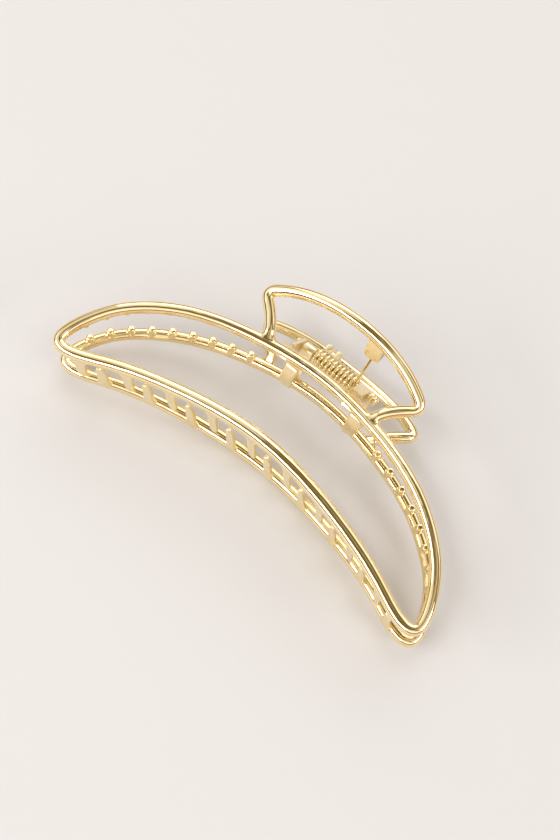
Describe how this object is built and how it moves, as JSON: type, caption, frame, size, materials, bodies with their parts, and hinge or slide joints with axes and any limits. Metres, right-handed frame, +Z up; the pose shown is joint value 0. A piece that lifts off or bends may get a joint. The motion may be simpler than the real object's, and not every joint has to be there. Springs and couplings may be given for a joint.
{
  "type": "claw hair clip",
  "caption": "Half-moon metal claw hair clip: two open crescent jaws with curved teeth and thumb loops, hinged on a pin and held shut by a coiled torsion spring.",
  "frame": {"origin": "bottom centre of the bounding box; the clip lies on its side on the lower jaw's thumb loop and toothed rail", "axes": "+X along the chord from tip to tip, +Y from the toothed rails towards the thumb loops, +Z up; the hinge axis is parallel to X"},
  "size_m": [0.1108, 0.0522, 0.0338],
  "materials": {
    "polished_gold_casting": "polished gold-coloured plating on a zinc alloy casting",
    "satin_gold_casting": "satin gold-coloured plating on a zinc alloy casting",
    "gold_spring_wire": "gold-coloured plating on steel spring wire",
    "gold_pin": "gold-coloured plating on a steel pin"
  },
  "bodies": {
    "lower_jaw": {"lower_outer_rail": "polished_gold_casting", "lower_toothed_rail": "polished_gold_casting", "lower_thumb_grip": "polished_gold_casting", "lower_left_grip_leg": "polished_gold_casting", "lower_right_grip_leg": "polished_gold_casting", "lower_inner_lug": "satin_gold_casting", "lower_outer_lug": "satin_gold_casting", "lower_spring_stop": "satin_gold_casting", "lower_teeth": "satin_gold_casting", "lower_left_pegs": "polished_gold_casting", "lower_right_pegs": "polished_gold_casting", "hinge_pin": "gold_pin", "torsion_spring": "gold_spring_wire"},
    "upper_jaw": {"upper_outer_rail": "polished_gold_casting", "upper_toothed_rail": "polished_gold_casting", "upper_thumb_grip": "polished_gold_casting", "upper_left_grip_leg": "polished_gold_casting", "upper_right_grip_leg": "polished_gold_casting", "upper_inner_lug": "satin_gold_casting", "upper_outer_lug": "satin_gold_casting", "upper_spring_stop": "satin_gold_casting", "upper_teeth": "satin_gold_casting", "upper_left_pegs": "polished_gold_casting", "upper_right_pegs": "polished_gold_casting"}
  },
  "joints": [
    {"name": "jaw_hinge", "type": "hinge", "parent": "lower_jaw", "child": "upper_jaw", "pos_m": [0, 0.01463, 0.01567], "axis": [-1, 0, 0], "range_deg": [0, 114], "stiffness_Nm_per_rad": 0.03, "springref_deg": -60.16, "deforming": ["torsion_spring"]}
  ]
}
